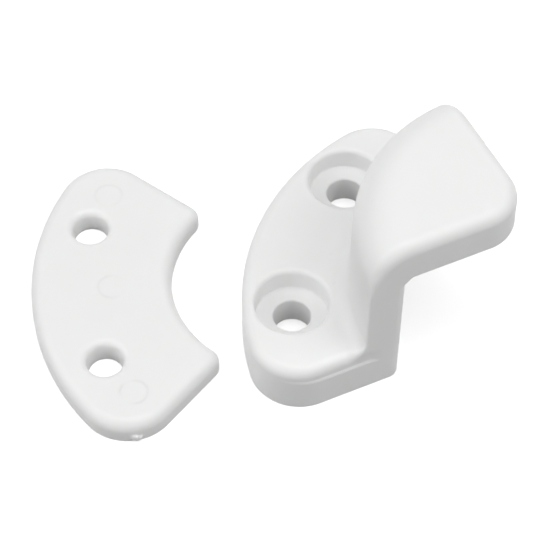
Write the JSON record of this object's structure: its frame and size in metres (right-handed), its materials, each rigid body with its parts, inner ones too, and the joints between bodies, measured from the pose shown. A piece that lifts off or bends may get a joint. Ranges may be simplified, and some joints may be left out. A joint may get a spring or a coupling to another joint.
{
  "type": "window catch keeper with packer",
  "caption": "Moulded hook keeper on a screw-down crescent base, with its loose crescent spacing packer, for a casement window's cam handle.",
  "frame": {"origin": "midway between the keeper's two screw holes, on its flat mounting face", "axes": "+Z away from the window frame, +X from the screw line towards the hook's tip, +Y along the screw line"},
  "size_m": [0.0573, 0.0514, 0.0237],
  "materials": {
    "keeper_plastic": "satin",
    "packer_plastic": "satin"
  },
  "bodies": {
    "keeper": {"keeper": "keeper_plastic"},
    "packer": {"packer": "packer_plastic"}
  },
  "joints": [
    {"name": "packer_lift", "type": "slide", "parent": "keeper", "child": "packer", "axis": [0, 0, 1], "range_m": [0, 0.03]}
  ]
}
